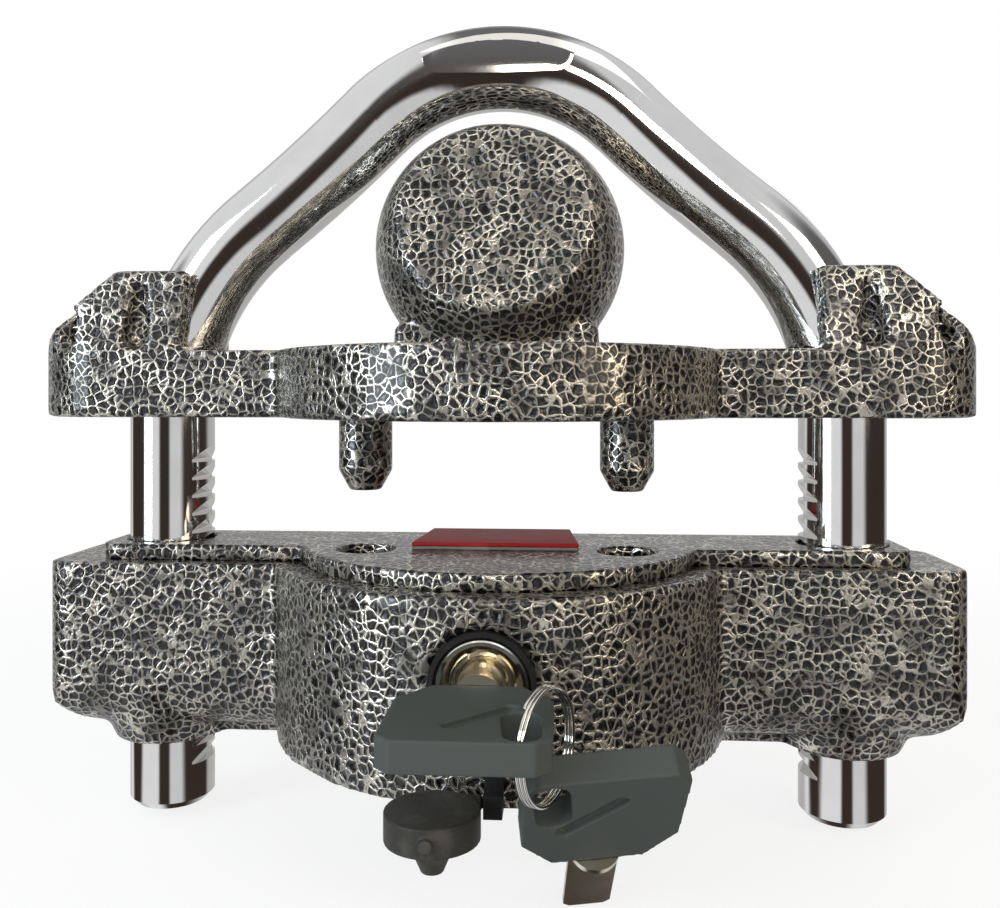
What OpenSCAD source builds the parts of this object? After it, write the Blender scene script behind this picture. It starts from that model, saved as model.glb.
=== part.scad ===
// Trailer coupler lock: a ball plate fills the coupler socket, a bent shackle passes over the coupler,
// and a lock housing slides up the shackle's toothed legs. Origin at the ball's centre, +Z up, the key
// side faces -Y. Millimetres.

/* [Ball plate] */
// Ball diameter
ball_d = 47.6; // [44:0.1:51]
// Distance of the ball's flats from its centre
ball_flat = 16.1; // [14:0.1:18]
// Lean of the ball's flats
flat_lean = 15; // [5:1:20]
// Half width of the neck under the ball
neck_half = 18.6; // [15:0.1:20]
// Distance from the ball's centre down to the plate
plate_drop = 19.5; // [18:0.1:23]
// Plate thickness
plate_t = 12.3; // [10:0.1:16]
// Half depth of the bars, front to back
bar_half = 14.5; // [13.5:0.1:16]
// Half length of the plate
plate_half = 88; // [88:0.5:100]
// Radius of the front bulge
bulge_r = 42; // [40:0.5:46]
// Hood height above the plate
hood_h = 15; // [12:0.5:16]
// How much farther than 45 degrees the hood's outer end leans in
hood_lean = 1.9; // [0:0.1:4]

/* [Shackle] */
// Shackle bar diameter
bar_d = 15.9; // [14:0.1:17]
// Distance from the centre to each leg
leg_x = 64.5; // [62:0.5:66]
// Height of the bar's axis at the apex, above the ball's centre
apex_z = 35.1; // [34.5:0.1:45]
// Bend radius at the apex
bow_r = 34.5; // [30:0.5:38]
// Bend radius at each shoulder
shoulder_r = 47.7; // [44:0.1:50]
// Steepest slope under the apex
bow_slope = 44.5; // [42:0.5:48]
// Gentlest slope above the shoulder
shoulder_slope = 38.5; // [36:0.5:40]
// Height of the leg ends, below the ball's centre
leg_end = -106.5; // [-125:0.5:-104]
// Pitch of the ratchet teeth
tooth_pitch = 3.4; // [3:0.1:4]
// Depth of the ratchet teeth
tooth_depth = 2.1; // [1.6:0.1:2.4]

/* [Lock housing] */
// Gap between the plate and the top cover
travel_gap = 23.6; // [20:0.1:30]
// Height of the housing
housing_h = 31.7; // [30:0.1:40]
// Half length of the housing
housing_half = 83.6; // [79:0.5:92]
// Distance of the flat back from the leg axis
back_y = 12; // [11:0.5:15]
// Corner radius of the housing seen from above
corner_r = 5.5; // [3:0.5:8]
// Radius along the bottom edges
belly_r = 11; // [8:0.5:11]
// Thickness of the raised top cover
cover_t = 2.9; // [2:0.1:4]
// Margin of the cover inside the housing outline
cover_inset = 4.6; // [3:0.1:6]
// Extra step from the housing's end to the cover's end
cover_end_gap = 4.2; // [3:0.1:6]
// Height of the lock axis below the top of the housing
lock_drop = 13.2; // [13:0.1:15]

/* [Lock cylinder and key] */
// Cylinder body diameter
cyl_d = 14; // [13.5:0.1:14.5]
// Chrome bezel diameter
bezel_d = 14.9; // [14.6:0.1:15.2]
// Plug diameter
plug_d = 9.6; // [9.2:0.1:9.8]
// Key blade diameter
blade_d = 7.4; // [7:0.1:7.6]
// Key blade length
blade_len = 21; // [20:0.5:23]
// Key head length
head_len = 23; // [20:0.5:25]
// Key head half width
head_half = 11; // [10:0.1:12]
// Key head thickness
head_t = 4.3; // [3.5:0.1:5]

/* [Clearances] */
// Gap round the shackle legs
leg_gap = 0.35; // [0.2:0.05:0.5]
// Gap between sliding flat parts
slide_gap = 0.3; // [0.2:0.05:0.4]
// Radial gap of a turning fit
turn_gap = 0.08; // [0.05:0.01:0.1]

/* [Hidden] */

$fn = 64;
eps = 0.02;
far = 300;

// Heights that the pieces share
plate_top = -plate_drop;
plate_bottom = plate_top - plate_t;
hood_top = plate_top + hood_h;
cover_top = plate_bottom - travel_gap;
housing_top = cover_top - cover_t;
housing_bottom = housing_top - housing_h;
lock_z = housing_top - lock_drop;
front_y = -bar_half;

// Shackle path: apex arc, waist arc, shoulder arc, straight leg
waist_x = bow_r * sin(bow_slope);
waist_z = apex_z - bow_r * (1 - cos(bow_slope));
shoulder_x = leg_x - shoulder_r * (1 - sin(shoulder_slope));
waist_r = (shoulder_x - waist_x) / (sin(bow_slope) - sin(shoulder_slope));
shoulder_z = waist_z - waist_r * (cos(shoulder_slope) - cos(bow_slope));
leg_top = shoulder_z - shoulder_r * cos(shoulder_slope);
leg_hole_d = bar_d + 2 * leg_gap;
hood_open_x = leg_x - 14;
slot_inner_x = leg_x - 3.6;
leg_chamfer = 1.4;
bar_lap = 0.4;
thin_d = bar_d - 0.08;

// Ratchet teeth: ledges face up, counted down from the first one
teeth_above_bolt = 9;
ledge_rise = 0.3;
tooth_first = lock_z + teeth_above_bolt * tooth_pitch + ledge_rise;
tooth_last = leg_end + leg_chamfer + tooth_pitch;
tooth_count = floor((tooth_first - tooth_last) / tooth_pitch) + 1;
bolt_throw = tooth_depth;

// Guide pins under the plate
pin_x = 23.5;
pin_y = -13;
pin_d = 9.6;
pin_tip_d = 5.6;
pin_len = 12.9;
pin_cone = 3.6;
pin_seat = 8;
pin_hole_d = pin_d + 1;
pin_hole_depth = pin_len + 1.2;

// Bosses and rail under the housing
boss_r = 15;
boss_foot_r = 10.4;
boss_drop = 3.2;
rail_half = 4;
rail_drop = 2.3;

// Lock cylinder, seen along Y from the bulge's face inwards
face_y = -bulge_r;
ring_d = 16.6;
bezel_out = 0.6;
bezel_depth = 3.2;
ring_depth = 2.2;
cyl_back = -8;
aperture_d = 9.9;
plug_front = face_y + 0.9;
plug_back = cyl_back;
plug_key_depth = 17;
plug_bore_d = blade_d + 1.2;
disc_d = plug_bore_d - 2 * turn_gap;
disc_count = 5;
disc_t = 1.7;
disc_pitch = 2.3;
disc_first = plug_front + 2.8;
half_moon = 0.4;
sidebar_w = 1.2;

// Cam and bolts, in the channel behind the cylinder
cam_r_long = 5.2;
cam_y = -3.6;
cam_t = 4;
tail_d = 3.4;
tail_end = 3.4;
nose_r = 1;
nose_gap = 0.15;
arm_z = cam_r_long + 0.5;
arm_h = 3;
bolt_w = 9;
bolt_h = 7.4;
bolt_start = 15;
bolt_end = leg_x - bar_d / 2;
bolt_rest_gap = 0.35;
nose_w = 5;
lug_w = 2.4;
spring_d = 4.6;
spring_wire = 0.8;
spring_turns = 4;
spring_seat = 9.9;
channel_half_z = arm_z + arm_h + slide_gap;
channel_centre_x = bolt_start + 3 + bolt_throw + slide_gap;

// Cylinder pin, screws and pad
cyl_pin_d = 3;
cyl_pin_y = -20;
screw_x = 12;
screw_y = -9.5;
screw_d = 4;
screw_head_d = 6.4;
screw_head_h = 1.6;
screw_len = 9;
pad_front = 30;
pad_back = 27;
pad_y0 = front_y + 0.4;
pad_y1 = 5;
pad_t = 1.3;

// Keys: u runs across the head, v from the butt towards the blade
butt_y = -71.5;
shoulder_half = 6.6;
head_chamfer = 2;
ring_slot_r = 2.5;
ring_slot_a = [7.3, 3.3];
ring_slot_b = [6.7, 9.4];
recess_a = [-2, 6.2];
recess_b = [5.2, 13.4];
recess_w = 2.4;
recess_depth = 1.1;
tang_w = 6;
tang_len = 9;
tang_t = 2;

// Split ring through both keys, and the spare key's place on it
ring_r = 7.4;
ring_wire = 0.54;
ring_dir = atan2(0.93, 0.37);
ring_tilt = 13.3;
ring_centre = [ring_slot_a[0] + ring_r * cos(ring_tilt) * cos(ring_dir),
    butt_y + ring_slot_a[1] + ring_r * cos(ring_tilt) * sin(ring_dir),
    lock_z - ring_r * sin(ring_tilt)];
spare_place = [17.9, -62.9, -75];
spare_turn = [-48, -3.5, 8];

// Dust cap hanging on its strap
cap_r = 6.9;
cap_rim = 4.2;
cap_x = -6.2;
cap_y = face_y - 9.2;
cap_z = lock_z - 14.6;
cap_pin_d = 1.3;
cap_pin_y = face_y - 2.9;
cap_pin_z = cap_z - 1.7;
strap_x = 0.6;
strap_w = 2.8;
strap_t = 1.3;

// ---------- shared shapes ----------

// A bent stretch of bar. A lapped stretch is a hair thinner and runs a little way into its neighbours
module bar_arc(radius, centre_x, centre_z, from, to, lap = 0) {
    lap_angle = lap / radius * 180 / PI;
    translate([centre_x, 0, centre_z]) rotate([90, 0, 0]) rotate([0, 0, from - lap_angle])
        rotate_extrude(angle = to - from + 2 * lap_angle) translate([radius, 0])
            circle(d = lap > 0 ? thin_d : bar_d);
}

module along_y(d, y0, y1, d2 = 0) {
    translate([0, y0, 0]) rotate([-90, 0, 0]) cylinder(h = y1 - y0, d1 = d, d2 = d2 == 0 ? d : d2);
}

module rounded_bar(half, y0, y1, r) {
    hull() {
        for (x = [-half + r, half - r]) {
            for (y = [y0 + r, y1 - r]) translate([x, y]) circle(r = r, $fn = 32);
        }
    }
}

// Front bulge, cut off level with the bars' middle
module bulge_2d(r) {
    intersection() {
        circle(r = r, $fn = 128);
        translate([-far / 2, -far]) square([far, far]);
    }
}

module plate_2d() {
    union() {
        translate([-plate_half + bar_half, -bar_half]) square([2 * (plate_half - bar_half), 2 * bar_half]);
        for (s = [-1, 1]) translate([s * (plate_half - bar_half), 0]) circle(r = bar_half);
        bulge_2d(bulge_r);
    }
}

// Slot in plan that lets the bend of the leg through, open from the leg axis inwards to reach
module leg_slot(reach, z0, z1) {
    for (s = [-1, 1]) translate([0, 0, z0]) {
        translate([s * leg_x, 0, 0]) cylinder(h = z1 - z0, d = leg_hole_d);
        translate([s * reach, 0, 0]) cylinder(h = z1 - z0, d = leg_hole_d);
        translate([min(s * reach, s * leg_x), -leg_hole_d / 2, 0]) cube([leg_x - reach, leg_hole_d, z1 - z0]);
    }
}

// ---------- ball plate ----------

module flat_ball() {
    difference() {
        sphere(d = ball_d, $fn = 96);
        for (s = [-1, 1]) scale([1, s, 1]) rotate([-flat_lean, 0, 0])
            translate([-far / 2, -far - ball_flat, -far / 2]) cube([far, far, far]);
        translate([-far / 2, -far / 2, ball_d / 2 - 1]) cube([far, far, far]);
    }
}

module neck() {
    y_top = (ball_flat - 15 * sin(flat_lean)) / cos(flat_lean);
    translate([-neck_half, -y_top, plate_top - 1]) cube([2 * neck_half, 2 * y_top, plate_drop - 14]);
}

module hood_pocket(turn, reach) {
    foot_r = 2.3;
    tip_r = 0.9;
    tip_h = hood_h - 5.6;
    rotate([0, 0, turn]) translate([0, -reach, plate_top + 2.6]) rotate([90, 0, 0])
        linear_extrude(height = 20) union() {
            circle(r = foot_r, $fn = 32);
            polygon([[-2.25, 0.5], [2.25, 0.5], [tip_r, tip_h], [-tip_r, tip_h]]);
            translate([0, tip_h]) circle(r = tip_r, $fn = 24);
        }
}

module hood() {
    inner = leg_x - bar_d / 2 + 1.5;
    difference() {
        intersection() {
            rotate([90, 0, 0]) translate([0, 0, -far / 2]) linear_extrude(height = far)
                polygon([[inner, plate_top - 1], [inner - 1, hood_top], [plate_half - hood_h - hood_lean, hood_top],
                    [plate_half, plate_top], [plate_half, plate_top - 1]]);
            rotate([90, 0, 90]) linear_extrude(height = far)
                polygon([[-bar_half, plate_top - 1], [-bar_half, plate_top], [-bar_half + 3, hood_top],
                    [bar_half - 3, hood_top], [bar_half, plate_top], [bar_half, plate_top - 1]]);
            translate([0, 0, plate_top - 1]) linear_extrude(height = far) plate_2d();
        }
        translate([leg_x, 0, 0]) for (turn = [8, 52, 128, 172]) hood_pocket(turn, bar_d / 2 + 2.4);
    }
}

module ball_plate() {
    color("dimgray") difference() {
        union() {
            translate([0, 0, plate_bottom]) linear_extrude(height = plate_t) plate_2d();
            flat_ball();
            neck();
            hood();
            mirror([1, 0, 0]) hood();
        }
        leg_slot(slot_inner_x, plate_bottom - 1, plate_top + eps);
        leg_slot(hood_open_x, plate_top, hood_top + 1);
        for (s = [-1, 1]) translate([s * pin_x, pin_y, plate_bottom - 1])
            cylinder(h = pin_seat + 1 + slide_gap, d = pin_d + 2 * eps);
    }
}

module guide_pins() {
    color("dimgray") for (s = [-1, 1]) translate([s * pin_x, pin_y, plate_bottom - pin_len]) union() {
        translate([0, 0, pin_cone]) cylinder(h = pin_len - pin_cone + pin_seat, d = pin_d);
        cylinder(h = pin_cone, d1 = pin_tip_d, d2 = pin_d);
    }
}

// ---------- shackle ----------

// Ratchet notches of one leg as a single comb: level ledges, each with a slope back out above it
module tooth_comb() {
    inner = leg_x - bar_d / 2;
    ledges = [for (i = [0 : tooth_count - 1]) tooth_first - i * tooth_pitch];
    teeth = [for (z = ledges) each [[inner + 0.02, z + tooth_pitch - 0.5], [inner + tooth_depth, z + 0.5],
        [inner + tooth_depth, z], [inner + 0.02, z]]];
    translate([0, bar_d / 2 + 1, 0]) rotate([90, 0, 0]) linear_extrude(height = bar_d + 2)
        polygon(concat([[inner - 3, ledges[0] + tooth_pitch - 0.5]], teeth,
            [[inner - 3, ledges[tooth_count - 1]]]));
}

// Bends and leg of the right-hand side, from the end of the apex arc down
module side_bar() {
    difference() {
        union() {
            bar_arc(waist_r, waist_x + waist_r * sin(bow_slope), waist_z + waist_r * cos(bow_slope),
                270 - bow_slope, 270 - shoulder_slope, bar_lap);
            bar_arc(shoulder_r, leg_x - shoulder_r, leg_top, 0, 90 - shoulder_slope);
            translate([leg_x, 0, leg_end + leg_chamfer])
                cylinder(h = leg_top - leg_end - leg_chamfer + bar_lap, d = thin_d);
            translate([leg_x, 0, leg_end]) cylinder(h = leg_chamfer, d1 = thin_d - 2 * leg_chamfer, d2 = thin_d);
        }
        tooth_comb();
    }
}

module apex_bar() {
    plaque_h = 6;
    plaque_half = 11;
    difference() {
        bar_arc(bow_r, 0, apex_z - bow_r, 90 - bow_slope, 90 + bow_slope);
        translate([0, -bar_d / 2 + 0.6, apex_z]) rotate([90, 0, 0]) linear_extrude(height = 5) union() {
            square([2 * plaque_half, plaque_h], center = true);
            for (s = [-1, 1]) translate([s * plaque_half, 0]) circle(d = plaque_h);
        }
    }
}

module shackle() {
    color("silver") union() {
        apex_bar();
        side_bar();
        mirror([1, 0, 0]) side_bar();
    }
}

// ---------- lock housing ----------

// Belly profile along X: a block with its two bottom edges rounded
module belly() {
    rotate([90, 0, 90]) translate([0, 0, -far / 2]) linear_extrude(height = far) union() {
        translate([front_y, housing_bottom + belly_r]) square([back_y - front_y, housing_h + 1]);
        translate([front_y + belly_r, housing_bottom]) square([back_y - front_y - belly_r - 3, belly_r + 1]);
        translate([front_y + belly_r, housing_bottom + belly_r]) circle(r = belly_r);
        translate([back_y - 3, housing_bottom + 3]) circle(r = 3);
        translate([back_y - 3, housing_bottom + 3]) square([3, belly_r]);
    }
}

module end_rounding() {
    rotate([90, 0, 0]) translate([0, 0, -far / 2]) linear_extrude(height = far) union() {
        translate([-housing_half, housing_bottom + belly_r]) square([2 * housing_half, housing_h + 1]);
        translate([-housing_half + belly_r, housing_bottom])
            square([2 * (housing_half - belly_r), belly_r + 1]);
        for (s = [-1, 1]) translate([s * (housing_half - belly_r), housing_bottom + belly_r])
            circle(r = belly_r);
    }
}

// Channel for the bolts: wide in the middle for the arms, one bolt high out to each leg
module bolt_channel() {
    half_y = bolt_w / 2 + slide_gap;
    half_z = bolt_h / 2 + slide_gap;
    translate([-leg_x, -half_y, lock_z - half_z]) cube([2 * leg_x, 2 * half_y, 2 * half_z]);
    translate([-channel_centre_x, -half_y, lock_z - channel_half_z])
        cube([2 * channel_centre_x, 2 * half_y, 2 * channel_half_z]);
}

module lock_housing() {
    color("dimgray") difference() {
        union() {
            intersection() {
                translate([0, 0, housing_bottom]) linear_extrude(height = housing_h)
                    rounded_bar(housing_half, front_y, back_y, corner_r);
                belly();
                end_rounding();
            }
            translate([0, 0, housing_bottom]) linear_extrude(height = housing_h) bulge_2d(bulge_r);
            for (s = [-1, 1]) translate([s * leg_x, 0, housing_bottom - boss_drop])
                intersection() {
                    cylinder(h = 12, r1 = boss_foot_r, r2 = boss_r);
                    translate([-30, front_y, 0]) cube([60, back_y - front_y, 30]);
                }
            translate([-leg_x, -rail_half, housing_bottom - rail_drop])
                cube([2 * leg_x, 2 * rail_half, 8]);
        }
        for (s = [-1, 1]) {
            translate([s * leg_x, 0, housing_bottom - 5]) cylinder(h = housing_h + 6, d = leg_hole_d);
            translate([s * pin_x, pin_y, cover_top - pin_hole_depth]) cylinder(h = far, d = pin_hole_d);
            translate([s * screw_x, screw_y, housing_top - screw_len + 1]) cylinder(h = far, d = screw_d + 2 * eps);
        }
        bolt_channel();
        translate([0, 0, lock_z]) {
            along_y(cyl_d + 2 * eps, face_y - 1, cyl_back + eps);
            along_y(ring_d + 2 * eps, face_y - 5, face_y + ring_depth);
            along_y(bezel_d + 2 * eps, face_y - 5, face_y + bezel_depth);
            along_y(aperture_d, cyl_back - 1, -bolt_w / 2 + 1);
        }
        translate([0, cyl_pin_y, lock_z - cyl_d / 2 + 1]) mirror([0, 0, 1]) cylinder(h = 40, d = cyl_pin_d + 2 * eps);
    }
}

module cover_2d() {
    union() {
        rounded_bar(housing_half - cover_inset - cover_end_gap, front_y + cover_inset - 1.5, back_y - cover_inset + 1.5, 5);
        intersection() {
            circle(r = bulge_r - cover_inset, $fn = 128);
            translate([-far / 2, -far]) square([far, far]);
        }
    }
}

module top_cover() {
    color("dimgray") difference() {
        translate([0, 0, housing_top]) linear_extrude(height = cover_t) cover_2d();
        for (s = [-1, 1]) {
            translate([s * leg_x, 0, housing_top - 1]) cylinder(h = 10, d = leg_hole_d);
            translate([s * pin_x, pin_y, housing_top - 1]) cylinder(h = 10, d = pin_hole_d);
            translate([s * screw_x, screw_y, housing_top - 1]) cylinder(h = 10, d = screw_d + 2 * eps);
            translate([s * screw_x, screw_y, cover_top - screw_head_h]) cylinder(h = 10, d = screw_head_d + 2 * eps);
        }
    }
}

module cover_screws() {
    color("gray") for (s = [-1, 1]) translate([s * screw_x, screw_y, cover_top - screw_len]) difference() {
        union() {
            cylinder(h = screw_len, d = screw_d);
            translate([0, 0, screw_len - screw_head_h]) cylinder(h = screw_head_h, d = screw_head_d);
        }
        translate([0, 0, screw_len - 1]) cylinder(h = 2, d = 2.8, $fn = 6);
    }
}

module top_pad() {
    color("firebrick") translate([0, 0, cover_top]) linear_extrude(height = pad_t)
        polygon([[-pad_front / 2, pad_y0], [pad_front / 2, pad_y0], [pad_back / 2, pad_y1], [-pad_back / 2, pad_y1]]);
}

// ---------- lock cylinder ----------

module lock_cylinder() {
    color("silver") translate([0, 0, lock_z]) difference() {
        union() {
            along_y(cyl_d, face_y + 1, cyl_back);
            along_y(bezel_d, face_y, face_y + bezel_depth);
            along_y(bezel_d - 1.2, face_y - bezel_out, face_y, bezel_d);
        }
        along_y(plug_d + 2 * turn_gap, plug_front, cyl_back + 1);
        along_y(bezel_d - 1.8, face_y - bezel_out - 0.4, plug_front + 0.5, aperture_d);
        translate([0, cyl_pin_y, -cyl_d / 2 - 1]) cylinder(h = 2.4, d = cyl_pin_d + 2 * eps);
    }
}

module cylinder_pin() {
    color("gray") translate([0, cyl_pin_y, housing_bottom + 0.4])
        cylinder(h = lock_z - cyl_d / 2 + 1.1 - housing_bottom - 0.4, d = cyl_pin_d);
}

// Rubber ring seated round the bezel, with the strap that carries the cap
module cap_retainer() {
    color("black") difference() {
        union() {
            translate([0, 0, lock_z]) along_y(ring_d, face_y - 0.5, face_y + ring_depth);
            translate([strap_x, face_y - strap_t - 0.2, cap_z - 3.4])
                cube([strap_w, strap_t, lock_z - ring_d / 2 + 1.2 - cap_z + 3.4]);
            translate([strap_x, cap_pin_y - 1.6, cap_z - 3.4]) cube([strap_w, 3.2, 3.4]);
        }
        translate([0, 0, lock_z]) along_y(bezel_d + 2 * eps, face_y - 2, face_y + ring_depth + 1);
        translate([0, cap_pin_y, cap_pin_z]) rotate([0, 90, 0]) cylinder(h = 10, d = cap_pin_d + 2 * turn_gap);
    }
}

// ---------- plug ----------

module half_moon_2d(d) {
    intersection() {
        circle(d = d);
        translate([-d, -half_moon]) square([2 * d, 2 * d]);
    }
}

module lock_plug() {
    color("goldenrod") translate([0, 0, lock_z]) difference() {
        union() {
            along_y(plug_d, plug_front + 0.6, plug_back);
            along_y(tail_d, plug_back - 1, tail_end);
        }
        along_y(plug_bore_d, plug_front, plug_front + plug_key_depth);
        for (s = [-1, 1]) rotate([0, s * 20, 0]) translate([-0.7, plug_front, plug_d / 2 - 1])
            cube([1.4, 1.8, 2]);
        translate([plug_d / 2 - 1.4, disc_first - 1, -sidebar_w / 2 - eps])
            cube([3, disc_count * disc_pitch + 1, sidebar_w + 2 * eps]);
        translate([0, tail_end - 1, 0]) difference() {
            along_y(tail_d + 1, 0, 0.6);
            along_y(tail_d - 0.8, -1, 2);
        }
    }
}

module lock_discs() {
    color("gold") translate([0, 0, lock_z]) for (i = [0 : disc_count - 1])
        translate([0, disc_first + i * disc_pitch, 0]) difference() {
            along_y(disc_d, 0, disc_t);
            translate([0, -1, 0]) rotate([90, 0, 0]) translate([0, 0, -disc_t - 2])
                linear_extrude(height = disc_t + 3) half_moon_2d(blade_d + 2 * turn_gap);
        }
}

module sidebar() {
    color("silver") translate([plug_bore_d / 2 + eps, disc_first - 0.7, lock_z - sidebar_w / 2])
        cube([(plug_d - plug_bore_d) / 2 - 2 * eps, disc_count * disc_pitch + 0.4, sidebar_w]);
}

// Two-lobed cam: its radius falls evenly with angle from the long to the short side
function cam_radius(a) = cam_r_long - bolt_throw * a / 90 - nose_gap;

module plug_cam() {
    steps = 12;
    quarter = [for (i = [0 : steps]) let (a = 90 * i / steps) cam_radius(a) * [cos(a), sin(a)]];
    second = [for (i = [1 : steps - 1]) [-quarter[steps - i][0], quarter[steps - i][1]]];
    upper = concat(quarter, second);
    color("silver") translate([0, cam_y + cam_t, lock_z]) rotate([90, 0, 0]) linear_extrude(height = cam_t)
        difference() {
            polygon(concat(upper, [for (p = upper) -p]));
            circle(d = tail_d + 2 * eps);
        }
}

module cam_clip() {
    color("gray") translate([0, tail_end - 0.95, lock_z]) difference() {
        along_y(tail_d + 2, 0, 0.5);
        along_y(tail_d - 0.76, -1, 2);
        translate([-0.9, -1, 0]) cube([1.8, 3, 5]);
    }
}

// ---------- bolts ----------

// Right-hand bolt at rest, drawn back: toothed nose at the leg, arm over the cam to a lug beyond it
module bolt_shape(arm_up) {
    lug_x = cam_r_long + nose_r;
    tip_x = bolt_end - bolt_rest_gap;
    ledge = tooth_first - teeth_above_bolt * tooth_pitch;
    arm_y = -bolt_w / 2 + 0.6;
    difference() {
        union() {
            difference() {
                translate([bolt_start, -bolt_w / 2, lock_z - bolt_h / 2])
                    cube([tip_x - bolt_start, bolt_w, bolt_h]);
                // the face follows the leg's round, far enough back to clear it when thrown
                translate([leg_x, 0, lock_z - 20])
                    cylinder(h = 40, r = bar_d / 2 + bolt_rest_gap + bolt_throw);
            }
            translate([0, nose_w / 2, 0]) rotate([90, 0, 0]) linear_extrude(height = nose_w)
                polygon([[tip_x - 6, ledge + 0.15], [tip_x, ledge + 0.15], [tip_x, ledge + 0.5],
                    [tip_x - 2.1, ledge + 2.5], [tip_x - 6, ledge + 2.5]]);
            translate([-lug_x - lug_w, arm_y, lock_z + (arm_up ? arm_z : -arm_z - arm_h)])
                cube([bolt_start + lug_x + lug_w + 3, cam_t, arm_h]);
            translate([bolt_start, arm_y, lock_z + (arm_up ? 0 : -arm_z - arm_h)])
                cube([3, cam_t, arm_z + arm_h]);
            translate([-lug_x - lug_w, arm_y, lock_z + (arm_up ? -1.2 : -arm_z - arm_h + 0.1)])
                cube([lug_w, cam_t, arm_z + arm_h + 1.1]);
            translate([-lug_x, arm_y, lock_z]) rotate([-90, 0, 0]) cylinder(h = cam_t, r = nose_r, $fn = 32);
        }
        translate([bolt_start - 1, 0, lock_z]) rotate([0, 90, 0]) cylinder(h = 7, d = spring_d + 1);
    }
}

module bolt_right() {
    color("gainsboro") bolt_shape(true);
}

module bolt_left() {
    color("gainsboro") mirror([1, 0, 0]) bolt_shape(false);
}

// Coil spring along X, swept as one closed tube
function spring_point(a, len) = [len * a / (360 * spring_turns), spring_d / 2 * cos(a), spring_d / 2 * sin(a)];

module coil(x0, x1) {
    sides = 6;
    rings = spring_turns * 14;
    len = x1 - x0 - spring_wire;
    points = [for (i = [0 : rings]) let (a = 360 * spring_turns * i / rings, c = spring_point(a, len))
        for (j = [0 : sides - 1]) let (b = 360 * j / sides)
        c + spring_wire / 2 * [sin(b), cos(b) * cos(a), cos(b) * sin(a)]];
    walls = [for (i = [0 : rings - 1]) for (j = [0 : sides - 1])
        let (k = (j + 1) % sides) [i * sides + j, i * sides + k, (i + 1) * sides + k, (i + 1) * sides + j]];
    first_cap = [[for (j = [sides - 1 : -1 : 0]) j]];
    last_cap = [[for (j = [0 : sides - 1]) rings * sides + j]];
    translate([x0 + spring_wire / 2, 0, lock_z]) polyhedron(points, concat(first_cap, walls, last_cap));
}

module bolt_spring_right() {
    color("silver") coil(spring_seat - 0.9, bolt_start + 5.9);
}

module bolt_spring_left() {
    color("silver") mirror([1, 0, 0]) coil(spring_seat - 0.9, bolt_start + 5.9);
}

// ---------- keys ----------

module stadium(a, b, r) {
    hull() {
        translate(a) circle(r = r, $fn = 32);
        translate(b) circle(r = r, $fn = 32);
    }
}

// Key head lying flat: butt at v = 0, blade leaves at v = head_len
module head_shape() {
    c = head_chamfer;
    difference() {
        translate([0, 0, -head_t / 2]) linear_extrude(height = head_t) difference() {
            polygon([[-head_half + c, 0], [head_half - c, 0], [head_half, c], [head_half, 0.73 * head_len],
                [shoulder_half, head_len], [-shoulder_half, head_len], [-head_half, 0.73 * head_len],
                [-head_half, c]]);
            stadium(ring_slot_a, ring_slot_b, ring_slot_r);
        }
        for (s = [-1, 1]) translate([0, 0, s > 0 ? head_t / 2 - recess_depth : -head_t / 2 - 1])
            linear_extrude(height = recess_depth + 1) stadium(recess_a, recess_b, recess_w / 2);
        translate([-tang_w / 2 - eps, head_len - tang_len - eps, -tang_t / 2 - eps])
            cube([tang_w + 2 * eps, tang_len + 1, tang_t + 2 * eps]);
    }
}

module blade_shape() {
    union() {
        difference() {
            translate([0, head_len, 0]) union() {
                along_y(blade_d, 0, blade_len - 1);
                along_y(blade_d, blade_len - 1, blade_len, blade_d - 2);
            }
            translate([-5, head_len + 1.2, -10]) cube([10, blade_len + 1, 10 - half_moon - turn_gap + 0.2]);
            for (i = [0 : 2 : disc_count - 1])
                translate([blade_d / 2 - 0.5, head_len + 9 + i * disc_pitch, 0]) cube([2, disc_t, 5]);
        }
        translate([-tang_w / 2, head_len - tang_len, -tang_t / 2]) cube([tang_w, tang_len + 1, tang_t]);
    }
}

module key_place() {
    translate([0, butt_y, lock_z]) children();
}

module spare_place_of() {
    translate(spare_place) rotate(spare_turn) mirror([1, 0, 0]) children();
}

module key_blade() {
    color("khaki") key_place() blade_shape();
}

module key_head() {
    color("darkslategray") key_place() head_shape();
}

module spare_key_blade() {
    color("khaki") spare_place_of() blade_shape();
}

module spare_key_head() {
    color("darkslategray") spare_place_of() head_shape();
}

// Three turns of wire lying side by side
module split_ring() {
    color("silver") translate(ring_centre) rotate([0, 0, ring_dir]) rotate([90, 0, 0]) rotate_extrude($fn = 96)
        union() {
            for (i = [-1 : 1]) translate([ring_r, i * ring_wire * 0.92]) circle(d = ring_wire, $fn = 16);
        }
}

// ---------- dust cap ----------

module dust_cap() {
    color("dimgray") union() {
        translate([cap_x, cap_y, cap_z]) mirror([0, 0, 1]) union() {
            cylinder(h = cap_rim, r = cap_r);
            translate([0, 0, cap_rim]) cylinder(h = 4.6, r1 = 3.6, r2 = 1.6);
            translate([0, -cap_r - 0.8, cap_rim / 2]) rotate([-90, 0, 0]) cylinder(h = 2, r = 1);
        }
        translate([cap_x + 2, cap_pin_y, cap_pin_z]) rotate([0, 90, 0])
            cylinder(h = strap_x + strap_w - cap_x - 2, d = cap_pin_d);
        translate([cap_x, cap_pin_y - 1.2, cap_pin_z - 1]) cube([strap_x - 0.4 - cap_x, 2.2, 2]);
    }
}

ball_plate();
guide_pins();
shackle();
lock_housing();
top_cover();
cover_screws();
top_pad();
lock_cylinder();
cylinder_pin();
cap_retainer();
lock_plug();
lock_discs();
sidebar();
plug_cam();
cam_clip();
bolt_left();
bolt_right();
bolt_spring_left();
bolt_spring_right();
key_blade();
key_head();
split_ring();
spare_key_blade();
spare_key_head();
dust_cap();
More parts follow.
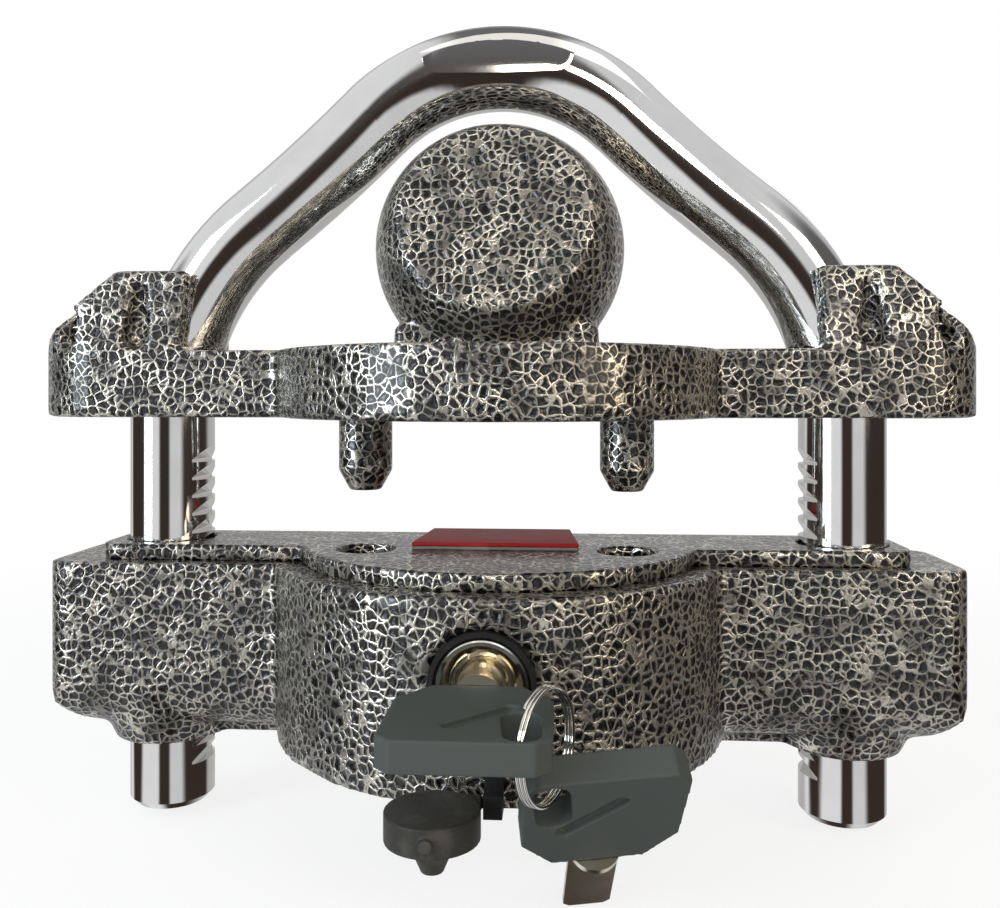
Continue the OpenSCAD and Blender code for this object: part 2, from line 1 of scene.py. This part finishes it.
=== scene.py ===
"""Looks of a trailer coupler lock: hammertone castings, a chromed shackle and a keyed cylinder."""

import logging
import math
from dataclasses import dataclass, field
from enum import Enum
from typing import Any, Protocol

import bmesh
import bpy
from mathutils import Matrix, Vector


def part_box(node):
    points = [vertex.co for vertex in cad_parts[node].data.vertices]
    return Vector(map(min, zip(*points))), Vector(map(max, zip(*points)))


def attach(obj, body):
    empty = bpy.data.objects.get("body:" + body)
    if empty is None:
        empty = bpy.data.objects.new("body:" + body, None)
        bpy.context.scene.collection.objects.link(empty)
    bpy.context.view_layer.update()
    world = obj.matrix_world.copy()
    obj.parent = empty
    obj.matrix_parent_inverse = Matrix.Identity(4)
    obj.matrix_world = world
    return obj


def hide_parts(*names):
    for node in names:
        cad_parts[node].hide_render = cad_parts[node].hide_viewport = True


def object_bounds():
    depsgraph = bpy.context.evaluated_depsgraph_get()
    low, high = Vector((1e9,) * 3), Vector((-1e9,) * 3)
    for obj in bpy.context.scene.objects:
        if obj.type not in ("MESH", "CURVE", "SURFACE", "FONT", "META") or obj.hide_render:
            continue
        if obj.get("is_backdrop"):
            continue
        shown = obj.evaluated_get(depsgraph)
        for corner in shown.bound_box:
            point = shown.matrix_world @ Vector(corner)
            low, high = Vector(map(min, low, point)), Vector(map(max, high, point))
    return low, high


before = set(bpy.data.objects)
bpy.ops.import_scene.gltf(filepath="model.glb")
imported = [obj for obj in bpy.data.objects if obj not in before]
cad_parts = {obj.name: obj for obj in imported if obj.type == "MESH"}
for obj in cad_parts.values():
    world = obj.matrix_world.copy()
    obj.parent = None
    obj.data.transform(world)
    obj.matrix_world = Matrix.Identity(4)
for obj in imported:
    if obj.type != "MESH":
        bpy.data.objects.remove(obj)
LOG = logging.getLogger("coupler_lock")
MM = 0.001
Colour = tuple[float, float, float]


# ---------- shader expressions ----------

@dataclass(frozen=True)
class Sock:
    """A shader value: wraps an output socket, and turns arithmetic into Math nodes."""

    tree: bpy.types.NodeTree
    out: bpy.types.NodeSocket

    def maths(self, operation: str, *values: Any) -> "Sock":
        """Adds one Math node.

        Args:
            operation: the node's operation.
            values: its inputs, as numbers or sockets.

        Returns:
            The node's result.
        """
        node = self.tree.nodes.new("ShaderNodeMath")
        node.operation = operation
        for slot, value in zip(node.inputs, values):
            if isinstance(value, Sock):
                self.tree.links.new(value.out, slot)
            else:
                slot.default_value = value
        return Sock(self.tree, node.outputs[0])

    def __add__(self, other: Any) -> "Sock":
        """Sum."""
        return self.maths("ADD", self, other)

    def __sub__(self, other: Any) -> "Sock":
        """Difference."""
        return self.maths("SUBTRACT", self, other)

    def __mul__(self, other: Any) -> "Sock":
        """Product."""
        return self.maths("MULTIPLY", self, other)

    __radd__ = __add__
    __rmul__ = __mul__

    def __rsub__(self, other: float) -> "Sock":
        """Difference from a plain number."""
        return self.maths("SUBTRACT", other, self)

    def step(self, low: float, high: float) -> "Sock":
        """Smooth ramp.

        Args:
            low: the value that gives 0.
            high: the value that gives 1.

        Returns:
            The ramp, held between 0 and 1.
        """
        node = self.tree.nodes.new("ShaderNodeMapRange")
        node.interpolation_type = "SMOOTHSTEP"
        node.inputs["From Min"].default_value = low
        node.inputs["From Max"].default_value = high
        self.tree.links.new(self.out, node.inputs["Value"])
        return Sock(self.tree, node.outputs["Result"])


class Bench:
    """A material or world under construction."""

    def __init__(self, tree: bpy.types.NodeTree) -> None:
        """Empties the tree."""
        self.tree = tree
        tree.nodes.clear()

    def add(self, kind: str, settings: dict[str, Any] | None = None,
            **inputs: Any) -> bpy.types.Node:
        """Adds any node.

        Args:
            kind: the node's type.
            settings: its properties, set first.
            inputs: its sockets, by name with _ for a space or by number as i0, i1 and so on.
                Each value is a number, a colour, a socket or a Sock.

        Returns:
            The new node.
        """
        node = self.tree.nodes.new(kind)
        for name, value in (settings or {}).items():
            setattr(node, name, value)
        for name, value in inputs.items():
            numbered = name[0] == "i" and name[1:].isdigit()
            slot = node.inputs[int(name[1:]) if numbered else name.replace("_", " ")]
            if isinstance(value, Sock):
                self.tree.links.new(value.out, slot)
            elif isinstance(value, bpy.types.NodeSocket):
                self.tree.links.new(value, slot)
            else:
                slot.default_value = value
        return node

    def coords(self) -> bpy.types.NodeSocket:
        """Object coordinates, in metres."""
        return self.add("ShaderNodeTexCoord").outputs["Object"]

    def noise(self, size: float, detail: float = 3, where: Any = None) -> Sock:
        """Noise with features of a given size.

        Args:
            size: the features' size in metres.
            detail: how many finer layers it has.
            where: its coordinates, or the object's own.

        Returns:
            The noise, about 0.5 on average.
        """
        node = self.add("ShaderNodeTexNoise", Vector=where or self.coords(), Scale=1 / size,
                        Detail=detail)
        return Sock(self.tree, node.outputs["Factor" if "Factor" in node.outputs else 0])

    def blend(self, factor: Sock, low: Any, high: Any) -> bpy.types.NodeSocket:
        """Mixes two colours by a factor.

        Args:
            factor: 0 for the first colour, 1 for the second.
            low: the first colour, as numbers or a socket.
            high: the second colour, as numbers or a socket.

        Returns:
            The mixed colour's socket.
        """
        node = self.add("ShaderNodeMix", {"data_type": "RGBA"})
        self.tree.links.new(factor.out, node.inputs[0])
        for slot, value in ((node.inputs[6], low), (node.inputs[7], high)):
            if isinstance(value, bpy.types.NodeSocket):
                self.tree.links.new(value, slot)
            else:
                slot.default_value = (*value, 1)
        return node.outputs[2]

    def bump(self, height: Sock, depth: float, strength: float = 1.0) -> bpy.types.NodeSocket:
        """Bump from a height field.

        Args:
            height: the field, from 0 to 1.
            depth: its full swing in metres.
            strength: how much of it shows.

        Returns:
            The bent normal's socket.
        """
        node = self.add("ShaderNodeBump", Height=height, Distance=depth, Strength=strength)
        return node.outputs[0]

    def surface(self, **inputs: Any) -> None:
        """Ends a material in one Principled shader.

        Args:
            inputs: the shader's sockets, as add takes them.
        """
        shader = self.add("ShaderNodeBsdfPrincipled", None, **inputs)
        self.add("ShaderNodeOutputMaterial", Surface=shader.outputs[0])


# ---------- finishes ----------

class Finish(Protocol):
    """Anything that can dress a surface."""

    name: str

    def dress(self, bench: Bench) -> None:
        """Builds the finish's nodes."""


def make(finish: Finish) -> bpy.types.Material:
    """Makes a finish's material once and gives it back each time.

    Args:
        finish: what the material looks like.

    Returns:
        The material.
    """
    found = bpy.data.materials.get(finish.name)
    if found is None:
        found = bpy.data.materials.new(finish.name)
        found.use_nodes = True
        finish.dress(Bench(found.node_tree))
    return found


@dataclass(frozen=True)
class Hammertone:
    """Hammered enamel: round dark craters in a thin bright metallic net."""

    name: str = "hammertone_enamel"
    cell: float = 1.6 * MM
    wander: float = 1.4 * MM
    drift: float = 0.8 * MM
    relief: float = 0.3 * MM
    crater: Colour = (0.004, 0.004, 0.004)
    crater_rim: Colour = (0.012, 0.011, 0.01)
    net: Colour = (0.6, 0.56, 0.48)

    def dress(self, bench: Bench) -> None:
        """Builds the finish's nodes."""
        where = bench.coords()
        wander = bench.add("ShaderNodeTexNoise", Vector=where, Scale=1 / self.wander,
                           Detail=1.0).outputs["Color"]
        shift = bench.add("ShaderNodeVectorMath", {"operation": "MULTIPLY_ADD"}, i0=wander,
                          i1=(self.drift,) * 3, i2=where).outputs[0]
        edge = bench.add("ShaderNodeTexVoronoi", {"feature": "DISTANCE_TO_EDGE"}, Vector=shift,
                         Scale=1 / self.cell, Randomness=0.85).outputs["Distance"]
        gap = Sock(bench.tree, edge)
        thickness = bench.noise(5 * MM, 2, where)
        net = 1 - gap.step(0.02, 0.14)
        net = net * (thickness.step(0.35, 0.65) * 0.8 + 0.2)
        dish = gap.step(0.0, 0.36)
        grain = bench.noise(0.35 * MM, 2, where)
        base = bench.blend(gap.step(0.1, 0.26), self.crater_rim, self.crater)
        colour = bench.blend(net, base, self.net)
        height = (1 - dish) * 0.85 + grain * 0.1
        bench.surface(Base_Color=colour, Metallic=net * 0.7 + 0.3, Roughness=0.22 + net * 0.04,
                      Normal=bench.bump(height, self.relief, 1.0), Coat_Weight=0.35,
                      Coat_Roughness=0.14)


@dataclass(frozen=True)
class Plated:
    """Bright plating with faint waviness and fine wipe marks."""

    name: str = "chrome_plate"
    colour: Colour = (0.74, 0.73, 0.71)
    roughness: float = 0.06
    wave: float = 0.02 * MM

    def dress(self, bench: Bench) -> None:
        """Builds the finish's nodes."""
        where = bench.coords()
        smear = bench.noise(9 * MM, 4, where)
        fine = bench.noise(0.5 * MM, 3, where)
        dulled = tuple(0.93 * channel for channel in self.colour)
        bench.surface(Base_Color=bench.blend(smear.step(0.3, 0.75), self.colour, dulled),
                      Metallic=1.0, Roughness=smear * 0.06 + fine * 0.03 + (self.roughness - 0.04),
                      Normal=bench.bump(bench.noise(6 * MM, 1, where), self.wave, 0.5))


@dataclass(frozen=True)
class Turned:
    """Machined metal, with a soft grain and a tint that drifts over it."""

    name: str
    colour: Colour
    tint: Colour
    roughness: float = 0.28

    def dress(self, bench: Bench) -> None:
        """Builds the finish's nodes."""
        where = bench.coords()
        drift = bench.noise(3 * MM, 3, where).step(0.35, 0.68)
        grain = bench.noise(0.2 * MM, 4, where)
        bench.surface(Base_Color=bench.blend(drift, self.colour, self.tint), Metallic=1.0,
                      Roughness=grain * 0.2 + (self.roughness - 0.1),
                      Normal=bench.bump(grain, 0.02 * MM, 0.6))


@dataclass(frozen=True)
class Moulded:
    """Moulded plastic or rubber: fine spark texture, dust and worn lighter patches."""

    name: str
    colour: Colour
    worn: Colour
    roughness: float
    texture: float = 0.35 * MM

    def dress(self, bench: Bench) -> None:
        """Builds the finish's nodes."""
        where = bench.coords()
        cloud = bench.noise(4 * MM, 4, where)
        spark = bench.noise(self.texture, 3, where)
        wear = cloud.step(0.45, 0.75) * 0.7 + spark.step(0.55, 0.8) * 0.3
        bench.surface(Base_Color=bench.blend(wear, self.colour, self.worn),
                      Roughness=cloud * 0.15 + (self.roughness - 0.07), Specular_IOR_Level=0.12,
                      Normal=bench.bump(spark + cloud * 0.6, 0.06 * MM, 0.8))


class Look(Enum):
    """The finishes of the lock."""

    HAMMERTONE = Hammertone()
    CHROME = Plated()
    NICKEL = Plated("bright_nickel", (0.7, 0.68, 0.63), 0.1, 0.01 * MM)
    STEEL = Turned("turned_steel", (0.56, 0.56, 0.56), (0.44, 0.44, 0.45))
    BRASS = Turned("machined_brass", (0.74, 0.68, 0.52), (0.62, 0.55, 0.4), 0.2)
    KEY_STEEL = Turned("passivated_steel", (0.78, 0.74, 0.64), (0.72, 0.62, 0.48), 0.22)
    SEAL_RUBBER = Moulded("seal_rubber", (0.012, 0.012, 0.012), (0.03, 0.03, 0.03), 0.42)
    CAP_RUBBER = Moulded("cap_rubber", (0.03, 0.029, 0.026), (0.07, 0.066, 0.058), 0.45)
    KEY_PLASTIC = Moulded("key_plastic", (0.008, 0.01, 0.009), (0.022, 0.026, 0.023), 0.46)
    RED_RUBBER = Moulded("red_rubber", (0.2, 0.008, 0.01), (0.3, 0.02, 0.02), 0.5)
    GREY_EDGE = Moulded("grey_edge", (0.12, 0.11, 0.1), (0.2, 0.18, 0.16), 0.6)


def dress(obj: bpy.types.Object, look: Look) -> None:
    """Gives an object one finish all over.

    Args:
        obj: the object to dress.
        look: the finish.
    """
    material = make(look.value)
    if obj.data.materials:
        for index in range(len(obj.data.materials)):
            obj.data.materials[index] = material
    else:
        obj.data.materials.append(material)


# ---------- pieces ----------

@dataclass
class Casting:
    """A CAD node's shape with its edges softened as a cast or moulded piece has them."""

    node: str
    body: str
    slot: str
    name: str
    look: Look
    grain: float
    rounds: int = 4

    def build(self) -> bpy.types.Object:
        """Remeshes a merged copy of the node, relaxes its edges and lets it stand for the node.

        Returns:
            The finished piece.
        """
        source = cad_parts[self.node]
        shape = bmesh.new()
        shape.from_mesh(source.data)
        bmesh.ops.remove_doubles(shape, verts=shape.verts, dist=1e-6)
        mesh = bpy.data.meshes.new(self.name)
        shape.to_mesh(mesh)
        shape.free()
        piece = bpy.data.objects.new(self.name, mesh)
        bpy.context.scene.collection.objects.link(piece)
        remesh = piece.modifiers.new("even", "REMESH")
        remesh.mode = "VOXEL"
        remesh.voxel_size = self.grain
        relax = piece.modifiers.new("relax", "SMOOTH")
        relax.factor = 0.5
        relax.iterations = self.rounds
        bake_modifiers(piece)
        for polygon in piece.data.polygons:
            polygon.use_smooth = True
        dress(piece, self.look)
        settle(piece, self.body, self.slot, self.node)
        return piece


@dataclass
class Merged:
    """A CAD node's shape with its facets joined: smooth on curves, crisp at corners."""

    node: str
    body: str
    slot: str
    name: str
    look: Look
    crease: float = math.radians(28)

    def build(self) -> bpy.types.Object:
        """Merges a copy of the node, marks its corners and lets it stand for the node.

        Returns:
            The finished piece.
        """
        shape = bmesh.new()
        shape.from_mesh(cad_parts[self.node].data)
        bmesh.ops.remove_doubles(shape, verts=shape.verts, dist=2e-6)
        for face in shape.faces:
            face.smooth = True
        for edge in shape.edges:
            edge.smooth = len(edge.link_faces) == 2 and edge.calc_face_angle(0.0) < self.crease
        mesh = bpy.data.meshes.new(self.name)
        shape.to_mesh(mesh)
        shape.free()
        piece = bpy.data.objects.new(self.name, mesh)
        bpy.context.scene.collection.objects.link(piece)
        dress(piece, self.look)
        settle(piece, self.body, self.slot, self.node)
        return piece


def bake_modifiers(piece: bpy.types.Object) -> None:
    """Turns an object's live modifiers into plain mesh.

    Args:
        piece: the object, whose mesh is replaced.
    """
    bpy.context.view_layer.update()
    evaluated = piece.evaluated_get(bpy.context.evaluated_depsgraph_get())
    mesh = bpy.data.meshes.new_from_object(evaluated)
    piece.modifiers.clear()
    piece.data = mesh
    mesh.name = piece.name


def settle(piece: bpy.types.Object, body: str, slot: str, *nodes: str) -> None:
    """Puts a piece on its body, in place of the CAD nodes it stands for.

    Args:
        piece: the finished piece.
        body: the body it rides on.
        slot: not used.
        nodes: the CAD nodes it replaces.
    """
    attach(piece, body)
    if nodes:
        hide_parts(*nodes)
    LOG.info("%s rides on %s: %d faces", piece.name, body, len(piece.data.polygons))


@dataclass
class SplitRing:
    """Spring wire wound into a flat key ring, its turns side by side."""

    turns: float = 2.85
    wire: float = 0.5 * MM
    turn_pitch: float = 0.53 * MM
    margin: float = 0.06 * MM
    steps: int = 96

    def tree(self) -> bpy.types.NodeTree:
        """Geometry Nodes that wind a wire into a ring.

        Returns:
            The node group, with named inputs for the ring's sizes.
        """
        group = bpy.data.node_groups.new("wound_ring", "GeometryNodeTree")
        for label in ("Radius", "Wire", "Pitch", "Turns"):
            group.interface.new_socket(label, in_out="INPUT", socket_type="NodeSocketFloat")
        group.interface.new_socket("Material", in_out="INPUT", socket_type="NodeSocketMaterial")
        group.interface.new_socket("Geometry", in_out="OUTPUT", socket_type="NodeSocketGeometry")
        nodes, link = group.nodes, group.links.new
        given = nodes.new("NodeGroupInput")
        done = nodes.new("NodeGroupOutput")
        wind = nodes.new("GeometryNodeCurveSpiral")
        wind.inputs["Resolution"].default_value = self.steps
        height = nodes.new("ShaderNodeMath")
        height.operation = "MULTIPLY"
        link(given.outputs["Pitch"], height.inputs[0])
        link(given.outputs["Turns"], height.inputs[1])
        link(given.outputs["Turns"], wind.inputs["Rotations"])
        link(given.outputs["Radius"], wind.inputs["Start Radius"])
        link(given.outputs["Radius"], wind.inputs["End Radius"])
        link(height.outputs[0], wind.inputs["Height"])
        round_wire = nodes.new("GeometryNodeCurvePrimitiveCircle")
        round_wire.inputs["Resolution"].default_value = 12
        link(given.outputs["Wire"], round_wire.inputs["Radius"])
        tube = nodes.new("GeometryNodeCurveToMesh")
        tube.inputs["Fill Caps"].default_value = True
        link(wind.outputs[0], tube.inputs["Curve"])
        link(round_wire.outputs[0], tube.inputs["Profile Curve"])
        real = nodes.new("GeometryNodeRealizeInstances")
        paint = nodes.new("GeometryNodeSetMaterial")
        link(tube.outputs[0], real.inputs[0])
        link(real.outputs[0], paint.inputs["Geometry"])
        link(given.outputs["Material"], paint.inputs["Material"])
        link(paint.outputs[0], done.inputs[0])
        return group

    def build(self) -> bpy.types.Object:
        """Winds the ring where the CAD ring is.

        Returns:
            The ring.
        """
        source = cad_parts["split_ring"]
        corners = [vertex.co for vertex in source.data.vertices]
        centre = sum(corners, Vector()) / len(corners)
        reach = max((point - centre).length for point in corners)
        # the ring stands upright, so its widest level direction lies in its plane
        flat = (Vector((point.x - centre.x, point.y - centre.y, 0)) for point in corners)
        level = max(flat, key=lambda arm: arm.length).normalized()
        radius = reach - self.wire / 2 - self.margin
        mesh = bpy.data.meshes.new("split_ring_wire")
        piece = bpy.data.objects.new("split_ring_wire", mesh)
        bpy.context.scene.collection.objects.link(piece)
        winding = piece.modifiers.new("winding", "NODES")
        winding.node_group = self.tree()
        values = {"Radius": radius, "Wire": self.wire / 2, "Pitch": self.turn_pitch,
                  "Turns": self.turns, "Material": make(Look.NICKEL.value)}
        for item in winding.node_group.interface.items_tree:
            if item.in_out == "INPUT":
                winding[item.identifier] = values[item.name]
        bake_modifiers(piece)
        normal = level.cross(Vector((0, 0, 1)))
        place = Matrix((level, Vector((0, 0, 1)), normal)).transposed().to_4x4()
        place.translation = centre - normal * (self.turn_pitch * self.turns / 2)
        piece.data.transform(place)
        smooth_all(piece)
        settle(piece, "split_ring", "bright_lock", "split_ring")
        return piece


def smooth_all(piece: bpy.types.Object) -> None:
    """Shades a piece smooth and points its faces outwards."""
    shape = bmesh.new()
    shape.from_mesh(piece.data)
    bmesh.ops.recalc_face_normals(shape, faces=shape.faces)
    for face in shape.faces:
        face.smooth = True
    shape.to_mesh(piece.data)
    shape.free()


@dataclass
class TopPad:
    """Red bumper on the cover: a thin slab with a pale bonded layer at its foot."""

    foot: float = 0.45
    edge: float = 0.22 * MM
    taper: float = 0.05

    def build(self) -> list[bpy.types.Object]:
        """Makes the red layer and the pale layer under it.

        Returns:
            Both pieces.
        """
        low, high = (Vector(v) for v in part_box("top_pad"))
        split = low.z + (high.z - low.z) * self.foot
        layers = (("pad_red", Look.RED_RUBBER, split, high.z),
                  ("pad_foot", Look.GREY_EDGE, low.z, split))
        return [self.layer(name, look, low, high, z0, z1) for name, look, z0, z1 in layers]

    def layer(self, name: str, look: Look, low: Vector, high: Vector,
              z0: float, z1: float) -> bpy.types.Object:
        """One layer of the pad between two heights.

        Args:
            name: the piece's name.
            look: its finish.
            low: the pad's lowest corner.
            high: the pad's highest corner.
            z0: the layer's underside.
            z1: the layer's top.

        Returns:
            The layer.
        """
        narrow = (high.x - low.x) * self.taper
        outline = ((low.x, low.y), (high.x, low.y),
                   (high.x - narrow, high.y), (low.x + narrow, high.y))
        shape = bmesh.new()
        face = shape.faces.new([shape.verts.new((x, y, z0)) for x, y in outline])
        raised = bmesh.ops.extrude_face_region(shape, geom=[face])["geom"]
        bmesh.ops.translate(shape, verts=[v for v in raised if isinstance(v, bmesh.types.BMVert)],
                            vec=(0, 0, z1 - z0))
        bmesh.ops.recalc_face_normals(shape, faces=shape.faces)
        bmesh.ops.bevel(shape, geom=list(shape.edges), offset=self.edge, segments=3, profile=0.5,
                        affect="EDGES", clamp_overlap=True)
        mesh = bpy.data.meshes.new(name)
        shape.to_mesh(mesh)
        shape.free()
        piece = bpy.data.objects.new(name, mesh)
        bpy.context.scene.collection.objects.link(piece)
        smooth_all(piece)
        dress(piece, look)
        settle(piece, "lock_body", "red_pad", *(["top_pad"] if name == "pad_red" else []))
        return piece


@dataclass
class Lock:
    """The whole lock: castings, then small pieces, then the nodes that keep their CAD shape."""

    castings: list[Casting] = field(default_factory=lambda: [
        Casting("ball_plate", "ball_plate", "hammer_plate", "ball_plate_casting",
                Look.HAMMERTONE, 0.85 * MM),
        Casting("lock_housing", "lock_body", "hammer_body", "housing_casting",
                Look.HAMMERTONE, 0.9 * MM),
        Casting("top_cover", "lock_body", "hammer_body", "cover_casting",
                Look.HAMMERTONE, 0.55 * MM, 3),
        Casting("guide_pins", "ball_plate", "hammer_plate", "guide_pin_castings",
                Look.HAMMERTONE, 0.3 * MM),
        Casting("key_head", "key", "key_plastic", "key_head_moulding", Look.KEY_PLASTIC, 0.22 * MM),
        Casting("spare_key_head", "spare_key", "key_plastic", "spare_head_moulding",
                Look.KEY_PLASTIC, 0.22 * MM),
        Casting("dust_cap", "dust_cap", "rubber", "dust_cap_moulding", Look.CAP_RUBBER, 0.2 * MM),
    ])
    merged: list[Merged] = field(default_factory=lambda: [
        Merged("shackle", "shackle", "chrome_bar", "shackle_bar", Look.CHROME),
        Merged("lock_cylinder", "lock_body", "bright_lock", "cylinder_face", Look.NICKEL),
        Merged("key_blade", "key", "key_steel", "key_blade_turned", Look.KEY_STEEL),
        Merged("spare_key_blade", "spare_key", "key_steel", "spare_blade_turned", Look.KEY_STEEL),
    ])
    kept: dict[str, Look] = field(default_factory=lambda: {
        "cap_retainer": Look.SEAL_RUBBER,
        "lock_plug": Look.BRASS, "lock_discs": Look.BRASS,
        **dict.fromkeys(("cover_screws", "cylinder_pin", "sidebar", "plug_cam", "cam_clip",
                         "bolt_left", "bolt_right", "bolt_spring_left", "bolt_spring_right"),
                        Look.STEEL)})

    def build(self) -> None:
        """Builds and dresses every piece."""
        for piece in (*self.castings, *self.merged):
            piece.build()
        SplitRing().build()
        TopPad().build()
        for node, look in self.kept.items():
            dress(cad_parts[node], look)
            LOG.info("%s keeps its shape", node)


# ---------- studio ----------

@dataclass(frozen=True)
class Lamp:
    """A soft rectangular lamp aimed at the lock."""

    name: str
    place: tuple[float, float, float]
    size: tuple[float, float]
    power: float
    colour: Colour = (1, 1, 1)

    def light(self, aim: Vector) -> None:
        """Hangs the lamp and turns it to its aim.

        Args:
            aim: the point it faces.
        """
        data = bpy.data.lights.new(self.name, "AREA")
        data.shape = "RECTANGLE"
        data.size, data.size_y = self.size
        data.energy = self.power
        data.color = self.colour
        lamp = bpy.data.objects.new(self.name, data)
        bpy.context.scene.collection.objects.link(lamp)
        lamp.location = self.place
        lamp.rotation_euler = (aim - Vector(self.place)).to_track_quat("-Z", "Y").to_euler()


@dataclass
class Studio:
    """Pale floor, soft lamps and the camera."""

    turn: float = math.radians(3.8)
    distance: float = 190 * MM
    eye_height: float = -27.5 * MM
    lens: float = 35.5
    drop: float = -0.06
    floor_half: float = 6.0
    floor_fade: tuple[float, float] = (0.16, 0.42)
    room_low: Colour = (0.05, 0.036, 0.03)
    room_high: Colour = (0.2, 0.2, 0.21)
    backdrop: Colour = (0.8, 0.8, 0.8)
    daylight: Colour = (1.1, 1.12, 1.15)

    def build(self) -> None:
        """Sets everything round the lock."""
        low, high = (Vector(v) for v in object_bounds())
        aim = Vector((0, 0, (low.z + high.z) / 2))
        self.floor(low.z - 0.5 * MM)
        for lamp in (
            Lamp("window", (-0.62, -0.5, 0.12), (0.3, 0.6), 6.0, (0.8, 0.91, 1.0)),
            Lamp("ceiling", (0.1, -0.25, 0.95), (0.9, 0.6), 1.6, (1.0, 0.97, 0.92)),
            Lamp("warm", (0.7, -0.55, 0.25), (0.35, 0.6), 3.2, (1.0, 0.86, 0.68)),
            Lamp("front", (0.12, -0.85, 0.3), (0.35, 0.2), 2.2, (1.0, 0.93, 0.84)),
            Lamp("back", (0.1, 0.8, 0.5), (0.9, 0.4), 0.8),
        ):
            lamp.light(aim)
        self.sky()
        self.camera()

    def floor(self, height: float) -> None:
        """Lays a pale floor that fades into the background.

        Args:
            height: its level.
        """
        half = self.floor_half
        mesh = bpy.data.meshes.new("floor")
        mesh.from_pydata([(-half, -half, height), (half, -half, height), (half, half, height),
                          (-half, half, height)], [], [(0, 1, 2, 3)])
        floor = bpy.data.objects.new("floor", mesh)
        bpy.context.scene.collection.objects.link(floor)
        material = bpy.data.materials.new("pale_floor")
        material.use_nodes = True
        bench = Bench(material.node_tree)
        reach = bench.add("ShaderNodeVectorMath", {"operation": "LENGTH"}, i0=bench.coords())
        fade = Sock(bench.tree, reach.outputs["Value"]).step(*self.floor_fade)
        path = bench.add("ShaderNodeLightPath")
        seen = Sock(bench.tree, path.outputs["Is Camera Ray"])
        paper = bench.add("ShaderNodeBsdfDiffuse", None, Color=(0.86, 0.86, 0.86, 1)).outputs[0]
        glow = bench.add("ShaderNodeEmission", None, Color=(1, 1, 1, 1), Strength=1.0).outputs[0]
        mixed = bench.add("ShaderNodeMixShader", None, Fac=(fade * 0.2 + 0.8) * seen,
                          i1=paper, i2=glow)
        shiny = Sock(bench.tree, path.outputs["Is Glossy Ray"])
        clear = bench.add("ShaderNodeBsdfTransparent").outputs[0]
        final = bench.add("ShaderNodeMixShader", None, Fac=shiny, i1=mixed.outputs[0], i2=clear)
        bench.add("ShaderNodeOutputMaterial", Surface=final.outputs[0])
        mesh.materials.append(material)
        floor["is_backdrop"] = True

    def sky(self) -> None:
        """Lights the scene softly from all round, white to the eye and graded on metal."""
        world = bpy.data.worlds.new("studio")
        bpy.context.scene.world = world
        world.use_nodes = True
        bench = Bench(world.node_tree)
        path = bench.add("ShaderNodeLightPath")
        seen = Sock(bench.tree, path.outputs["Is Camera Ray"])
        direction = bench.add("ShaderNodeTexCoord").outputs["Generated"]
        level = bench.add("ShaderNodeSeparateXYZ", Vector=direction)
        rise = Sock(bench.tree, level.outputs["Z"]).step(-0.1, 0.9)
        behind = Sock(bench.tree, level.outputs["Y"]).step(0.45, 0.8)
        side = Sock(bench.tree, level.outputs["X"])
        window = side.step(-0.92, -0.84) * (1 - side.step(-0.34, -0.2))
        doorway = side.step(0.14, 0.28) * (1 - side.step(0.62, 0.8))
        tone = bench.blend(rise, self.room_low, self.room_high)
        pale = bench.blend(behind * 0.75, tone, self.backdrop)
        panes = (window * 0.9 + doorway * 0.75) * (1 - behind)
        bright = bench.blend(panes, pale, self.daylight)
        room = bench.add("ShaderNodeBackground", None, Color=bright, Strength=0.9).outputs[0]
        white = bench.add("ShaderNodeBackground", None, Color=(1, 1, 1, 1), Strength=1.0).outputs[0]
        mixed = bench.add("ShaderNodeMixShader", None, Fac=seen, i1=room, i2=white)
        bench.add("ShaderNodeOutputWorld", Surface=mixed.outputs[0])

    def camera(self) -> None:
        """Stands the camera level with the plate, a little to the right."""
        data = bpy.data.cameras.new("camera")
        data.lens = self.lens
        data.sensor_width = 36
        data.shift_y = self.drop
        data.clip_start = 0.01
        camera = bpy.data.objects.new("camera", data)
        bpy.context.scene.collection.objects.link(camera)
        camera.location = (self.distance * math.sin(self.turn),
                           -self.distance * math.cos(self.turn), self.eye_height)
        camera.rotation_euler = (math.pi / 2, 0, self.turn)
        bpy.context.scene.camera = camera


def main() -> None:
    """Builds the studio and the lock."""
    logging.basicConfig(level=logging.INFO, format="%(message)s")
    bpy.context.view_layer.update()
    scene = bpy.context.scene
    scene.view_settings.view_transform = "Standard"
    Studio().build()
    Lock().build()
    bpy.context.view_layer.update()


if __name__ == "__main__":
    main()
